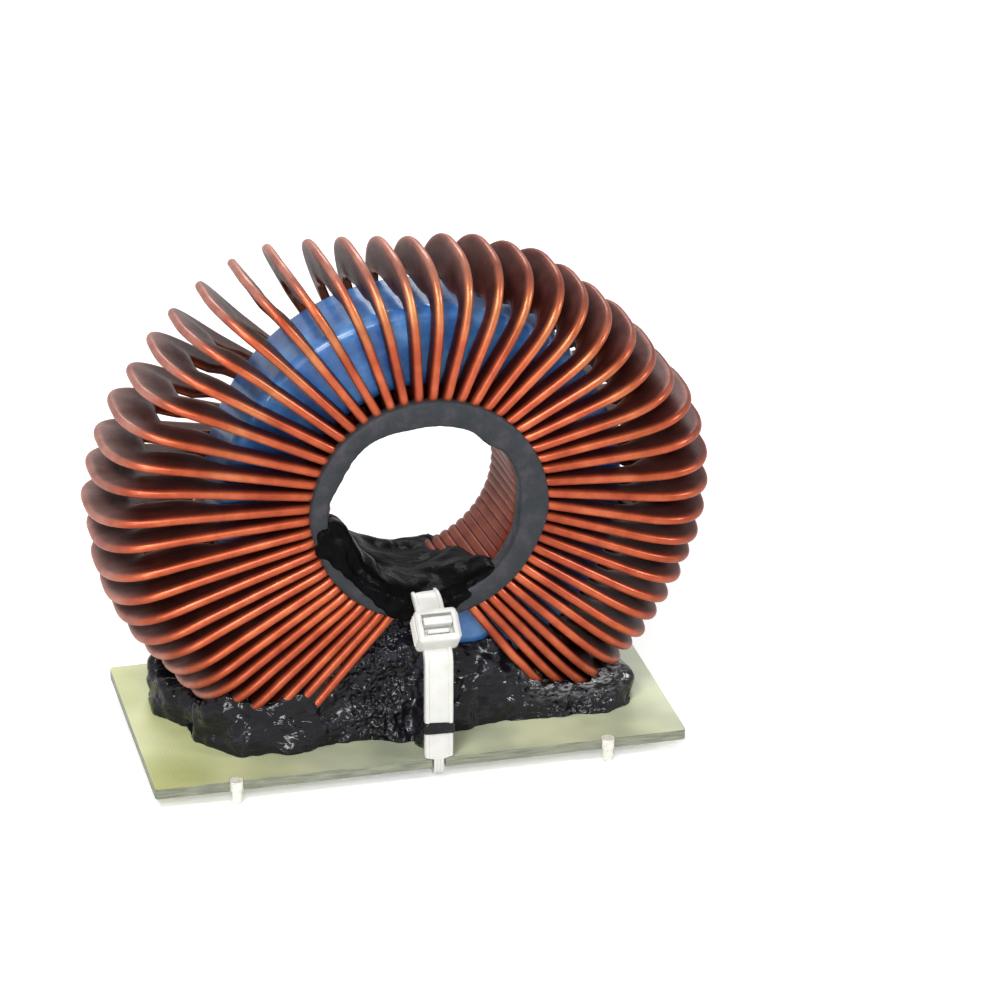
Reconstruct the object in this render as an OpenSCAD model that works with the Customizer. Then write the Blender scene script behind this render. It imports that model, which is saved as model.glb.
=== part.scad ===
// Vertical toroidal inductor on a pinned board: a coated ring core carries one layer of flat
// copper wire wound on edge, held down by a cable tie and a bed of black silicone.
// Millimetres. X runs along the board, Y through the bore, Z up.
// The origin is the centre of the pin pattern, on the underside of the board.

/* [Board] */
// Length of the board
board_w = 80; // [74:1:100]
// Depth of the board
board_d = 40; // [38:1:50]
// Thickness of the board
board_t = 1.6; // [1:0.1:2.4]
// Radius of the board's corners
board_corner_r = 0.6; // [0.2:0.1:2]

/* [Pins] */
// Diameter of a pin below the board
pin_d = 1.6; // [1:0.1:2.4]
// Diameter of a pin's pressed shank inside the board
shank_d = 2; // [1.5:0.1:3]
// Distance between the pins along the board
pin_span = 56; // [48:1:66]
// How far a pin stands out below the board
pin_out = 2.2; // [1.8:0.1:5]
// Length of the taper at a pin's tip
pin_taper = 0.4; // [0.1:0.1:0.6]
// How far a pin's centre lies inside the board's edge
pin_inset = 0.3; // [0:0.1:2]

/* [Core] */
// Outer diameter of the coated core
core_od = 60.6; // [50:0.1:73]
// Bore of the coated core
core_id = 36; // [34:0.2:40]
// Width of the core along the bore
core_h = 14.2; // [11:0.1:18]
// Radius on the core's edges
core_edge_r = 1.8; // [1.4:0.1:3]
// Free height between the board and the core
core_stand = 5.2; // [4.4:0.1:8]
// Sideways place of the core from the board's centre
core_x = 2.9; // [0:0.1:4]

/* [Winding] */
// Thickness of the flat wire
wire_t = 1.2; // [0.8:0.01:1.6]
// Width of the flat wire
wire_w = 3.8; // [2.6:0.1:4]
// Gap between the wire and the core's side faces
side_gap = 0.5; // [0.3:0.1:1.5]
// Gap between the wire and the core's bore
bore_gap = 0.4; // [0.3:0.1:1]
// Least gap between neighbouring turns in the bore
turn_gap = 0.25; // [0.25:0.01:1]
// Outside radius of a turn's two corners in the bore
bend_r = 5; // [4.5:0.1:6]
// Gap between the silicone bed and the lowest turns
bed_gap = 0.1; // [0.1:0.1:2]
// How far the wire's ends stand out below the board
lead_out = 1.6; // [1:0.1:1.7]

/* [Fan of the turns] */
// Angle of the first turn in the bore, from straight down
first_in = 14; // [12:1:20]
// Angle of the last turn in the bore
last_in = 341; // [336:1:344]
// Angle of the first turn at its outer end
first_out = 33; // [30:1:38]
// Angle of the last turn at its outer end
last_out = 326; // [322:1:330]
// How much wider the turns are spread at the top of the bore
spread_in = 0.02; // [0:0.01:0.04]
// How much wider the turns are spread at the top outside
spread_out = 0.28; // [0:0.02:0.36]
// Slack of the turns outside the core at the lower left
slack_low_left = 7.5; // [4:0.1:11]
// Slack of the turns outside the core at the left
slack_left = 10; // [4:0.1:13]
// Slack of the turns outside the core at the upper left
slack_high_left = 4.5; // [1:0.1:11]
// Slack of the turns outside the core at the top
slack_top = 0; // [0:0.1:7]
// Slack of the turns outside the core at the upper right
slack_high_right = 2.6; // [0:0.1:11]
// Slack of the turns outside the core at the right
slack_right = 6; // [3:0.1:11]
// Slack of the turns outside the core at the lower right
slack_low_right = 5; // [3:0.1:11]

/* [Bore ring] */
// How far the ring stands in front of the turns
ring_proud = 0.6; // [0.3:0.1:1.2]
// Radial width of the ring
ring_w = 3.6; // [3:0.1:4]
// Gap between the ring and the turns
ring_gap = 0.45; // [0.4:0.05:0.8]

/* [Cable tie] */
// Width of the strap
tie_w = 4.2; // [3:0.1:4.6]
// Thickness of the strap
tie_t = 1.2; // [0.8:0.1:1.5]
// Width of the strap's necks where it passes the board's edges
neck_w = 1.5; // [1:0.1:2.5]
// Sideways place of the strap from the core's centre
tie_x = -0.7; // [-1:0.1:0.4]
// How far the strap falls from the bore to the top of its upright run
tie_fall = 6.1; // [5:0.1:8]
// Radius of the strap's upper corners
tie_corner_r = 2; // [1.6:0.1:3]

/* [Silicone] */
// Length of the silicone bed
bed_w = 69; // [60:1:70]
// Depth of the silicone bed
bed_d = 28; // [26:0.5:32]
// Height of the silicone bed
bed_t = 1.7; // [1:0.1:1.8]
// Height of the bank against the core's side faces
bank_h = 12.5; // [8:0.5:13]
// Depth of the bank at the board
bank_foot = 6.5; // [5:0.5:9]
// Height of the fill in the bore above the turns
saddle_h = 2.4; // [1:0.1:4]
// Height of the mound at each corner of the bed
mound_h = 9; // [5:0.5:10]
// Radius of each mound at its foot
mound_r = 8; // [6:0.5:10]

/* [Hidden] */
$fn = 64;
eps = 0.01;

// Clearances
pin_fit = 0.05;
slot_fit = 0.25;
soft_gap = 0.3;

// Heights and places
core_lift = core_od / 2 + core_stand;
axis_z = board_t + core_lift;
bore_r = core_id / 2 - bore_gap - wire_w;
floor_gap = bed_t + bed_gap + wire_t / 2;
turns = floor(PI * bore_r * (last_in - first_in) / 180 / (wire_t + turn_gap));
half_depth = core_h / 2 + side_gap + wire_w;
leg_y = half_depth - wire_w / 2;
mid_bend_r = bend_r - wire_w / 2;
corner_y = half_depth - bend_r;
pin_y = board_d / 2 - pin_inset;
tie_mid_x = core_x + tie_x;
tie_y = board_d / 2 - tie_t / 4;

// ---- Winding ----

// Direction from the core's centre at an angle measured from straight down towards -X
function out_dir(a) = [-sin(a), 0, -cos(a)];
function smooth(a, b, t) = a + (b - a) * (1 - cos(180 * t)) / 2;

// Reach of a turn whose round outer end just clears the core's rim
tight_reach = core_od / 2 + half_depth - sqrt(pow(half_depth - wire_w, 2) - pow(core_h / 2, 2));
// Reach of the turns from the core's centre, at every eighth of a circle from straight down
reaches = [for (slack = [slack_low_left, slack_low_left, slack_left, slack_high_left, slack_top,
                         slack_high_right, slack_right, slack_low_right, slack_low_right])
    tight_reach + slack];

// The oval that the outer ends of the turns follow
function oval(a) =
    let (k = floor(a / 45))
    smooth(reaches[k], reaches[k + 1], a / 45 - k);
// The lowest turns stop above the board
function reach(a) =
    cos(a) > 0.5 ? min(oval(a), (core_lift - floor_gap) / cos(a)) : oval(a);

// Share of the fan passed at turn s, slower at the top where the turns stand further apart
function share(s, spread) =
    let (t = s / (turns - 0.5))
    t - spread / (2 * PI) * sin(360 * t);
function in_point(s) = bore_r * out_dir(first_in + (last_in - first_in) * share(s, spread_in));
function out_point(s) =
    let (a = first_out + (last_out - first_out) * share(s, spread_out))
    reach(a) * out_dir(a);

function unit(v) = v / norm(v);
// One section of the wire: its centre, its flat normal and its wide direction.
// (p, q) are along the turn's own plane and along Y; (tp, tq) is the way the wire runs there.
function section(s, p, q, tp, tq) =
    let (a = in_point(s), u = unit(out_point(s) - a))
    [a + p * u + [0, q, 0], [-u[2], 0, u[0]], -tq * u + [0, tp, 0]];
function turn_len(s) = norm(out_point(s) - in_point(s));
// A section on an arc about (p0, q0), at angle a, with the wire running towards smaller angles
function arc_section(s, p0, q0, r, a) =
    section(s, p0 + r * cos(a), q0 + r * sin(a), sin(a), -cos(a));

arc_steps = 6;
function one_turn(i) = concat(
    [section(i, turn_len(i) - half_depth, -leg_y, -1, 0)],
    [for (k = [0:2]) arc_section(i, bend_r, -corner_y, mid_bend_r, -90 - 45 * k)],
    [for (k = [0:2]) arc_section(i + 0.5, bend_r, corner_y, mid_bend_r, 180 - 45 * k)],
    [section(i + 0.5, turn_len(i + 0.5) - half_depth, leg_y, 1, 0)],
    i == turns - 1 ? [] :
    [for (k = [1:arc_steps - 1])
        let (s = i + 0.5 + 0.5 * k / arc_steps)
        arc_section(s, turn_len(s) - half_depth, 0, leg_y, 90 - 180 * k / arc_steps)]);

// The two ends run on along their legs, bend down at a knee and pass through the board
lead_knee = 3;
knee_rise = 0.4;
function lead(s, y, side, run) =
    let (o = out_point(s), u = unit(o - in_point(s)))
    [[o - run * u + [0, y, 0], [-u[2], 0, u[0]], [0, side, 0]],
     [[o[0], y, o[2] + knee_rise], unit([1 - u[2], 0, u[0]]), [0, side, 0]],
     [[o[0], y, -axis_z - lead_out], [1, 0, 0], [0, side, 0]]];
function reversed(v) = [for (k = [len(v) - 1:-1:0]) v[k]];

wire_path = concat(
    reversed(lead(0, -leg_y, -1, lead_knee)),
    [for (i = [0:turns - 1]) each one_turn(i)],
    lead(turns - 0.5, leg_y, 1, lead_knee));

function corners(sec) =
    let (n = sec[1] * wire_t / 2, w = sec[2] * wire_w / 2)
    [sec[0] + w + n, sec[0] - w + n, sec[0] - w - n, sec[0] + w - n];

module winding() {
    rings = len(wire_path);
    points = [for (sec = wire_path) each corners(sec)];
    sides = [for (k = [0:rings - 2], j = [0:3])
        let (a = 4 * k + j, b = 4 * k + (j + 1) % 4)
        [a, a + 4, b + 4, b]];
    last = 4 * (rings - 1);
    caps = [[0, 1, 2, 3], [last + 3, last + 2, last + 1, last]];
    color("chocolate")
    translate([core_x, 0, axis_z])
    polyhedron(points, concat(sides, caps), convexity = 20);
}

// ---- Core ----

module rounded_section(w, h, r) {
    square([w - 2 * r, h], center = true);
    square([w, h - 2 * r], center = true);
    for (x = [-1, 1], y = [-1, 1])
        translate([x * (w / 2 - r), y * (h / 2 - r)])
        circle(r, $fn = 32);
}

// Stands a shape that was turned about Z up on the core's own axis
module on_core_axis() {
    translate([core_x, 0, axis_z])
    rotate([90, 0, 0])
    children();
}

module core() {
    wall = (core_od - core_id) / 2;
    color("steelblue")
    on_core_axis()
    rotate_extrude($fn = 128)
    translate([core_id / 2 + wall / 2, 0])
    rounded_section(wall, core_h, core_edge_r);
}

// The ring fills the funnel that the turns' corners leave at the front of the bore
ring_set_back = 0.2;
module bore_ring() {
    ring_in = bore_r + ring_set_back;
    front = half_depth + ring_proud;
    color("dimgray")
    on_core_axis()
    rotate_extrude($fn = 128)
    difference() {
        translate([ring_in, corner_y])
        square([ring_w, front - corner_y]);
        translate([bore_r + bend_r, corner_y])
        circle(bend_r + ring_gap, $fn = 96);
    }
}

// ---- Board and pins ----

module each_pin_place() {
    for (x = [-1, 1], y = [-1, 1])
        translate([x * pin_span / 2, y * pin_y, 0])
        children();
}

module rounded_plate(w, d, t, r) {
    translate([-w / 2 + r, -d / 2, 0]) cube([w - 2 * r, d, t]);
    translate([-w / 2, -d / 2 + r, 0]) cube([w, d - 2 * r, t]);
    for (x = [-1, 1], y = [-1, 1])
        translate([x * (w / 2 - r), y * (d / 2 - r), 0])
        cylinder(r = r, h = t, $fn = 32);
}

// The room that each wire end needs along its leg, round its knee and through the board
lead_room_run = 12;
module lead_room(grow) {
    for (end = [[0, -1], [turns - 0.5, 1]]) {
        path = lead(end[0], 0, 1, lead_room_run);
        half = wire_t / 2 + grow;
        one_side = [for (sec = path) sec[0] + half * sec[1]];
        other_side = [for (sec = reversed(path)) sec[0] - half * sec[1]];
        translate([core_x, end[1] * leg_y, axis_z])
        rotate([90, 0, 0])
        linear_extrude(wire_w + 2 * grow, center = true)
        polygon([for (p = concat(one_side, other_side)) [p[0], p[2]]]);
    }
}

module base_board() {
    notch_w = neck_w + 2 * slot_fit;
    notch_d = tie_t + 2 * slot_fit;
    color("palegoldenrod")
    difference() {
        rounded_plate(board_w, board_d, board_t, board_corner_r);
        each_pin_place()
            translate([0, 0, -eps])
            cylinder(d = shank_d + 2 * pin_fit, h = board_t + 2 * eps, $fn = 48);
        for (y = [-1, 1])
            translate([tie_mid_x, y * tie_y, board_t / 2])
            cube([notch_w, notch_d, board_t + 2 * eps], center = true);
        lead_room(slot_fit);
    }
}

// A straight pin with a tapered tip and a wider shank that is pressed into the board
module pin(x, y) {
    color("gainsboro")
    translate([x * pin_span / 2, y * pin_y, 0]) {
        cylinder(d = shank_d, h = board_t, $fn = 48);
        translate([0, 0, pin_taper - pin_out])
            cylinder(d = pin_d, h = pin_out - pin_taper, $fn = 48);
        translate([0, 0, -pin_out])
            cylinder(d1 = pin_d - pin_taper, d2 = pin_d, h = pin_taper, $fn = 48);
    }
}
module pin_front_left() { pin(-1, -1); }
module pin_front_right() { pin(1, -1); }
module pin_rear_left() { pin(-1, 1); }
module pin_rear_right() { pin(1, 1); }

// ---- Cable tie ----

// Points of a closed outline in Y and Z with each corner turned into an arc of its own radius
function rounded(pts, radii) =
    [for (k = [0:len(pts) - 1])
        let (p = pts[k],
             r = radii[k],
             a = unit(pts[(k + len(pts) - 1) % len(pts)] - p),
             b = unit(pts[(k + 1) % len(pts)] - p),
             half = acos(a * b) / 2,
             centre = p + unit(a + b) * r / sin(half),
             start = atan2((p + a * r / tan(half) - centre)[1], (p + a * r / tan(half) - centre)[0]),
             stop = atan2((p + b * r / tan(half) - centre)[1], (p + b * r / tan(half) - centre)[0]),
             turn = (stop - start + 540) % 360 - 180)
        each [for (i = [0:6]) centre + r * [cos(start + turn * i / 6), sin(start + turn * i / 6)]]];

// The strap lies in the bore over the ring's edge, slopes down and runs upright past the board
tie_under_gap = 0.1;
tie_bore_z = axis_z - bore_r + soft_gap + tie_t / 2;
tie_lip_y = half_depth + ring_proud + tie_t / 2;
tie_under_z = -tie_under_gap - tie_t / 2;
tie_bend_z = tie_bore_z - tie_fall;
function tie_outline(grow) =
    let (y = tie_y + grow, top = tie_bore_z + grow, low = tie_under_z - grow,
         bend = tie_bend_z + grow)
    [[-tie_lip_y, top], [tie_lip_y, top], [y, bend], [y, low], [-y, low], [-y, bend]];
// The strap is pulled tight round the board, so its lower corners are sharper
tie_low_r = 0.15;
function tie_radii(grow) =
    let (high = tie_corner_r + grow, low = tie_low_r + tie_t / 2 + grow)
    [high, high, high, low, low, high];

module tie_loop(grow_out, grow_in, w) {
    translate([tie_mid_x, 0, 0])
    rotate([90, 0, 90])
    linear_extrude(w, center = true)
    difference() {
        polygon(rounded(tie_outline(grow_out), tie_radii(grow_out)));
        polygon(rounded(tie_outline(-grow_in), tie_radii(-min(grow_in, tie_t / 2))));
    }
}

// What is cut off beside the strap's necks, from the top of the board round to its underside
neck_run = 3;
module beside_necks() {
    low = tie_under_z - tie_t;
    high = board_t + tie_under_gap;
    for (x = [-1, 1], y = [-1, 1])
        translate([tie_mid_x + x * (neck_w + tie_w) / 2, y * tie_y, (low + high) / 2])
        cube([tie_w, 2 * neck_run, high - low], center = true);
}

// The head sits on the sloping run in front of the winding, a little below its middle
head = [6.4, 5.2, 4.2];
head_low = 1;
module tie_head() {
    slope = atan2(tie_fall, tie_y - tie_lip_y);
    translate([tie_mid_x, -(tie_y + tie_lip_y) / 2, (tie_bore_z + tie_bend_z) / 2])
    rotate([slope, 0, 0])
    translate([0, -head_low, head[2] / 2 - tie_t / 2])
    cube(head, center = true);
}

module cable_tie() {
    color("whitesmoke")
    union() {
        difference() {
            tie_loop(tie_t / 2, tie_t / 2, tie_w);
            beside_necks();
        }
        tie_head();
    }
}

// ---- Silicone ----

// The space between the two end turns, below the core's centre, with room to spare on each side.
// It rises a little above the ends of the turns in the bore.
module between_end_turns(room, rise, y0, y1) {
    low = core_lift;
    left_in = in_point(0);
    left_out = out_point(0);
    right_in = in_point(turns - 0.5);
    right_out = out_point(turns - 0.5);
    function at(a, b, z) = a[0] + (b[0] - a[0]) * (z - a[2]) / (b[2] - a[2]);
    top = min(left_in[2], right_in[2]) + rise;
    pts = [[at(left_in, left_out, top) + room, top], [at(right_in, right_out, top) - room, top],
           [at(right_in, right_out, -low) - room, -low], [at(left_in, left_out, -low) + room, -low]];
    translate([core_x, y1, axis_z])
    rotate([90, 0, 0])
    linear_extrude(y1 - y0)
    polygon(pts);
}

// Room that an end turn takes sideways, measured along X
turn_room = wire_t + soft_gap;

// The bank slopes from a narrow lip against the core down to a low toe
bank_lip = 1.2;
bank_toe = 1;
module bank() {
    face = core_h / 2 + soft_gap;
    foot = face + bank_foot;
    intersection() {
        between_end_turns(turn_room, 0, -board_d / 2, board_d / 2);
        for (side = [-1, 1])
            scale([1, side, 1])
            translate([-board_w / 2, 0, board_t])
            rotate([90, 0, 90])
            linear_extrude(board_w)
            polygon([[face, 0], [face, bank_h], [face + bank_lip, bank_h], [foot, bank_toe], [foot, 0]]);
    }
}

// A mound at each corner of the bed, standing a little over its long edges
mound_over = 1;
module mounds() {
    ball_r = (mound_h * mound_h + mound_r * mound_r) / (2 * mound_h);
    for (x = [-1, 1], y = [-1, 1])
        translate([x * (bed_w / 2 - mound_r), y * (bed_d / 2 - mound_r + mound_over), board_t])
        intersection() {
            translate([0, 0, mound_h - ball_r])
            sphere(ball_r);
            cylinder(r = mound_r, h = mound_h + 1, $fn = 48);
        }
}

// The space that the turns' rounded ends sweep
module turns_envelope() {
    far = max(reaches) + soft_gap;
    on_core_axis() {
        rotate_extrude($fn = 96)
        translate([far - half_depth, 0])
        circle(half_depth + soft_gap, $fn = 64);
        cylinder(r = far - half_depth, h = 2 * (half_depth + soft_gap), center = true, $fn = 96);
    }
}

bed_corner_r = 5;
module adhesive_bed() {
    color([0.08, 0.08, 0.09])
    difference() {
        union() {
            translate([0, 0, board_t])
            rounded_plate(bed_w, bed_d, bed_t, bed_corner_r);
            bank();
            difference() {
                mounds();
                turns_envelope();
            }
        }
        lead_room(soft_gap);
        tie_loop(tie_t / 2 + slot_fit, tie_t / 2 + slot_fit, tie_w + 2 * slot_fit);
    }
}

// The fill in the bore stops behind the ring at the front and short of the turns at the back.
// The slanted edges of the end turns reach into the bore by part of the wire's thickness.
saddle_front = 1.6;
saddle_back = 2;
saddle_r = bore_r - soft_gap - wire_t / 4;
saddle_rise = soft_gap + wire_t / 4;
module bore_adhesive() {
    back = half_depth - saddle_back;
    front = corner_y + saddle_front;
    color([0.08, 0.08, 0.09])
    difference() {
        union() {
            intersection() {
                on_core_axis() cylinder(r = saddle_r, h = 4 * half_depth, center = true);
                translate([core_x - bore_r, -front, axis_z - bore_r])
                cube([2 * bore_r, front + back, saddle_h]);
            }
            intersection() {
                between_end_turns(turn_room, saddle_rise, -front, back);
                on_core_axis() cylinder(d = core_id - soft_gap, h = 4 * half_depth, center = true);
            }
        }
        tie_loop(tie_t / 2 + slot_fit, tie_t / 2 + slot_fit, tie_w + 2 * slot_fit);
    }
}

core();
winding();
bore_ring();
base_board();
cable_tie();
adhesive_bed();
bore_adhesive();
pin_front_left();
pin_front_right();
pin_rear_left();
pin_rear_right();
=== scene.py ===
import math
import random

import bmesh
import bpy
from mathutils import Matrix, Vector, noise


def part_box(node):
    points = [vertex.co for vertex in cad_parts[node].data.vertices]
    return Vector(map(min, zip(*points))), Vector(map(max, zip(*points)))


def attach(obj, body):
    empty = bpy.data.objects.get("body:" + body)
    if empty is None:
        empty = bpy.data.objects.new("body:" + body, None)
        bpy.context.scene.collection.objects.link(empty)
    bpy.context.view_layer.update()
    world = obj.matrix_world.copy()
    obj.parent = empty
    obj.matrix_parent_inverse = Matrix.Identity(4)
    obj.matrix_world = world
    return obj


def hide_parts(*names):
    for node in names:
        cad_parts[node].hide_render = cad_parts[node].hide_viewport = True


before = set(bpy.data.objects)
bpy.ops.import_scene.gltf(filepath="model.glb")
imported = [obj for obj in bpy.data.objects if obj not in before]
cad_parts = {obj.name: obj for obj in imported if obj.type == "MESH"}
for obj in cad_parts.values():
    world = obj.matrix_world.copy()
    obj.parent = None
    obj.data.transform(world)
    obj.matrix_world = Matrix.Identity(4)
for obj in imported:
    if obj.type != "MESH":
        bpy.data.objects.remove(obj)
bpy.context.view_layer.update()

# ---------------------------------------------------------------- core
# A pressed powder ring, dipped in blue epoxy. The coat is thick and satin, with the faint
# orange peel and the paler patches of a powder that was baked on.

core_low, core_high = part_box("core")
core_centre = (core_low + core_high) / 2 * 1000
core_r = (core_high.x - core_low.x) / 2 * 1000
core_width = (core_high.y - core_low.y) * 1000


def finish(name, colour, roughness, metallic=0.0, **sockets):
    """A Principled material whose plain values stand on the shader's own sockets."""
    material = bpy.data.materials.new(name)
    material.use_nodes = True
    shader = material.node_tree.nodes["Principled BSDF"]
    values = {"Base Color": (*colour, 1), "Roughness": roughness, "Metallic": metallic}
    values.update({key.replace("_", " "): value for key, value in sockets.items()})
    for key, value in values.items():
        shader.inputs[key].default_value = value
    return material


def node(material, kind, inputs=(), **settings):
    """One more node, with its inputs set to values or joined to other nodes' outputs."""
    made = material.node_tree.nodes.new(kind)
    for key, value in settings.items():
        setattr(made, key, value)
    for key, value in dict(inputs).items():
        if isinstance(value, bpy.types.NodeSocket):
            material.node_tree.links.new(value, made.inputs[key])
        else:
            made.inputs[key].default_value = value
    return made


def place(material, stretch=(1, 1, 1)):
    """Position on the object in millimetres, squeezed along an axis where a grain runs."""
    here = node(material, "ShaderNodeTexCoord").outputs["Object"]
    scale = [1000 * s for s in stretch]
    return node(material, "ShaderNodeMapping", {"Vector": here, "Scale": scale}).outputs["Vector"]


def grain(material, size, where, detail=4.0, roughness=0.55, distortion=0.0):
    """Noise whose lumps are about this many millimetres across."""
    inputs = {"Vector": where, "Scale": 1 / size, "Detail": detail, "Roughness": roughness,
              "Distortion": distortion}
    return node(material, "ShaderNodeTexNoise", inputs).outputs["Fac"]


def shades(material, factor, stops):
    """Colours spread over a factor, as (position, colour) pairs."""
    made = node(material, "ShaderNodeValToRGB", {"Fac": factor})
    while len(made.color_ramp.elements) < len(stops):
        made.color_ramp.elements.new(0.5)
    for element, (position, colour) in zip(made.color_ramp.elements, stops):
        element.position = position
        element.color = (*colour, 1)
    return made.outputs["Color"]


def level(material, factor, low, high):
    """A factor's middle stretch spread between two values."""
    inputs = {"Value": factor, "From Min": 0.3, "From Max": 0.7, "To Min": low, "To Max": high}
    return node(material, "ShaderNodeMapRange", inputs).outputs["Result"]


def dress(material, **sockets):
    """Joins outputs to the shader's sockets."""
    shader = material.node_tree.nodes["Principled BSDF"]
    for key, value in sockets.items():
        material.node_tree.links.new(value, shader.inputs[key.replace("_", " ")])


def bump(material, height, depth, strength=1.0, under=None):
    """Relief of this many millimetres, over another relief if one is given."""
    inputs = {"Height": height, "Distance": depth / 1000, "Strength": strength}
    if under is not None:
        inputs["Normal"] = under
    return node(material, "ShaderNodeBump", inputs).outputs["Normal"]


def wear(obj, material):
    """Gives an object its material, in its one slot."""
    obj.data.materials.clear()
    obj.data.materials.append(material)


epoxy = finish("blue_epoxy", (0.05, 0.2, 0.55), 0.35, Coat_Weight=0.5, Coat_Roughness=0.15)
where = place(epoxy)
patches = grain(epoxy, 5.0, where, detail=5.0)
peel = grain(epoxy, 0.6, where, detail=2.0)
dress(epoxy,
      Base_Color=shades(epoxy, patches, [(0.3, (0.02, 0.1, 0.36)), (0.52, (0.055, 0.21, 0.57)),
                                         (0.72, (0.15, 0.37, 0.74))]),
      Roughness=level(epoxy, patches, 0.28, 0.45),
      Normal=bump(epoxy, peel, 0.04, under=bump(epoxy, patches, 0.15)))
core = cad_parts["core"]
wear(core, epoxy)

# ---------------------------------------------------------------- winding
# One length of flat copper wire in clear red-brown enamel, bent on edge, with each turn pushed
# over the core. The turns touch in the bore and fan out into wide, round-ended leaves outside.

wire_t = 1.34
wire_w = 3.8
wire_edge_r = 0.6
turns = 54
bore_r = 13.8
bend_r = 5
side_gap = 0.5
half_depth = core_width / 2 + side_gap + wire_w
leg_y = half_depth - wire_w / 2
corner_y = half_depth - bend_r
mid_bend_r = bend_r - wire_w / 2
tight_reach = core_r + half_depth - math.sqrt((half_depth - wire_w) ** 2 - (core_width / 2) ** 2)
# How much further out than a tight turn the turns go, at every eighth of the way round
eighth = 45
slacks = [6.3, 6.3, 10, 6.4, -1.2, 0.8, 5.6, 4.8, 4.8]
lowest = 34.1
squareness = 2 / 2.9
# First angle, sweep, and how much wider the turns stand at the top than at the ends
inner_fan = (14, 331, 0.02)
outer_fan = (32, 300, 0.36)
front_hole_x, rear_hole_x = -18.6, 25.2
# How much of the room up to the core's rim the inner edge spreads over, and by how much at most
rim_gap = 0.6
spread_share, more_share_on_right = 0.85, 0.12
most_spread, more_spread_on_right = 3.4, 2.2
right_from_x = 15
edge_band = 0.55
bore_swell, bore_keystone = 0.04, 0.3
dice = random.Random(5)
lean_wobble = [dice.gauss(0, 0.3) for _ in range(2 * turns + 2)]
reach_wobble = [-abs(dice.gauss(0.2, 0.25)) for _ in range(2 * turns + 2)]


def wobble(table, s):
    """A hand-wound coil's small unevenness, changing smoothly along the turns."""
    k = min(int(2 * s), 2 * turns)
    return table[k] + (table[k + 1] - table[k]) * (2 * s - k)


def clamp(value, low=0, high=1):
    """A value kept between two others."""
    return min(max(value, low), high)


def outward(angle):
    """Direction from the core's centre, with the angle taken from straight down towards -X."""
    a = math.radians(angle)
    return Vector((-math.sin(a), 0, -math.cos(a)))


def reach(angle):
    """How far out the turns go: a slack oval that is cut off just above the silicone."""
    k = int(angle / eighth)
    blend = (1 - math.cos(math.pi * (angle / eighth - k))) / 2
    oval = tight_reach + slacks[k] + (slacks[k + 1] - slacks[k]) * blend
    down = math.cos(math.radians(angle))
    return min(oval, lowest / down) if down > 0.5 else oval


def fan_angle(s, fan):
    """Angle that a fan has come to at turn s."""
    first, sweep, opening = fan
    t = s / (turns - 0.5)
    return first + sweep * (t - opening / (2 * math.pi) * math.sin(2 * math.pi * t))


def inner_end(s):
    """Where turn s lies in the bore."""
    return bore_r * outward(fan_angle(s, inner_fan))


def outer_end(s):
    """Where turn s turns back. The wire's own two ends are laid without a wobble."""
    angle = fan_angle(s, outer_fan)
    if 0.6 < s < turns - 1:
        return (reach(angle) + wobble(reach_wobble, s)) * outward(angle + wobble(lean_wobble, s))
    return reach(angle) * outward(angle)


def section(s, p, q, tp, tq):
    """Centre, flat normal and wide direction of the wire at (p, q) in the plane of turn s."""
    start = inner_end(s)
    along = (outer_end(s) - start).normalized()
    return (start + p * along + Vector((0, q, 0)), Vector((-along.z, 0, along.x)),
            -tq * along + Vector((0, tp, 0)))


def bent(s, p0, q0, r, angle):
    """A section on a bend about (p0, q0), with the wire running towards smaller angles."""
    a = math.radians(angle)
    return section(s, p0 + r * math.cos(a), q0 + r * math.sin(a), math.sin(a), -math.cos(a))


def straight_end(s):
    """How far out the legs of turn s stay straight."""
    return (outer_end(s) - inner_end(s)).length - half_depth


def squarish(angle):
    """A point on the outer end's curve, which is squarer than a half circle."""
    c, d = math.cos(math.radians(angle)), math.sin(math.radians(angle))
    return Vector((leg_y * abs(c) ** squareness,
                   math.copysign(leg_y * abs(d) ** squareness, d)))


def outer_bend(s, angle):
    """A section on the outer end of turn s."""
    here = squarish(angle)
    run = (squarish(angle - 1) - squarish(angle + 1)).normalized()
    return section(s, straight_end(s) + here.x, here.y, run.x, run.y)


def one_turn(i, is_last):
    """Front leg, corner, run through the bore, corner, rear leg, then the round outer end."""
    made = []
    leg_steps, corner_steps, bore_steps, arc_steps = 10, 6, 4, 28
    for k in range(leg_steps):
        p = straight_end(i) + (bend_r - straight_end(i)) * k / leg_steps
        made.append(section(i, p, -leg_y, -1, 0))
    for k in range(corner_steps + 1):
        made.append(bent(i, bend_r, -corner_y, mid_bend_r, -90 - 90 * k / corner_steps))
    for k in range(1, bore_steps):
        q = corner_y * (2 * k / bore_steps - 1)
        made.append(section(i + 0.5 * k / bore_steps, wire_w / 2, q, 0, 1))
    for k in range(corner_steps + 1):
        made.append(bent(i + 0.5, bend_r, corner_y, mid_bend_r, 180 - 90 * k / corner_steps))
    for k in range(1, leg_steps + 1):
        p = bend_r + (straight_end(i + 0.5) - bend_r) * k / leg_steps
        made.append(section(i + 0.5, p, leg_y, 1, 0))
    for k in range(1, 0 if is_last else arc_steps):
        s = i + 0.5 + 0.5 * k / arc_steps
        made.append(outer_bend(s, 90 - 180 * k / arc_steps))
    return made


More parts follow.
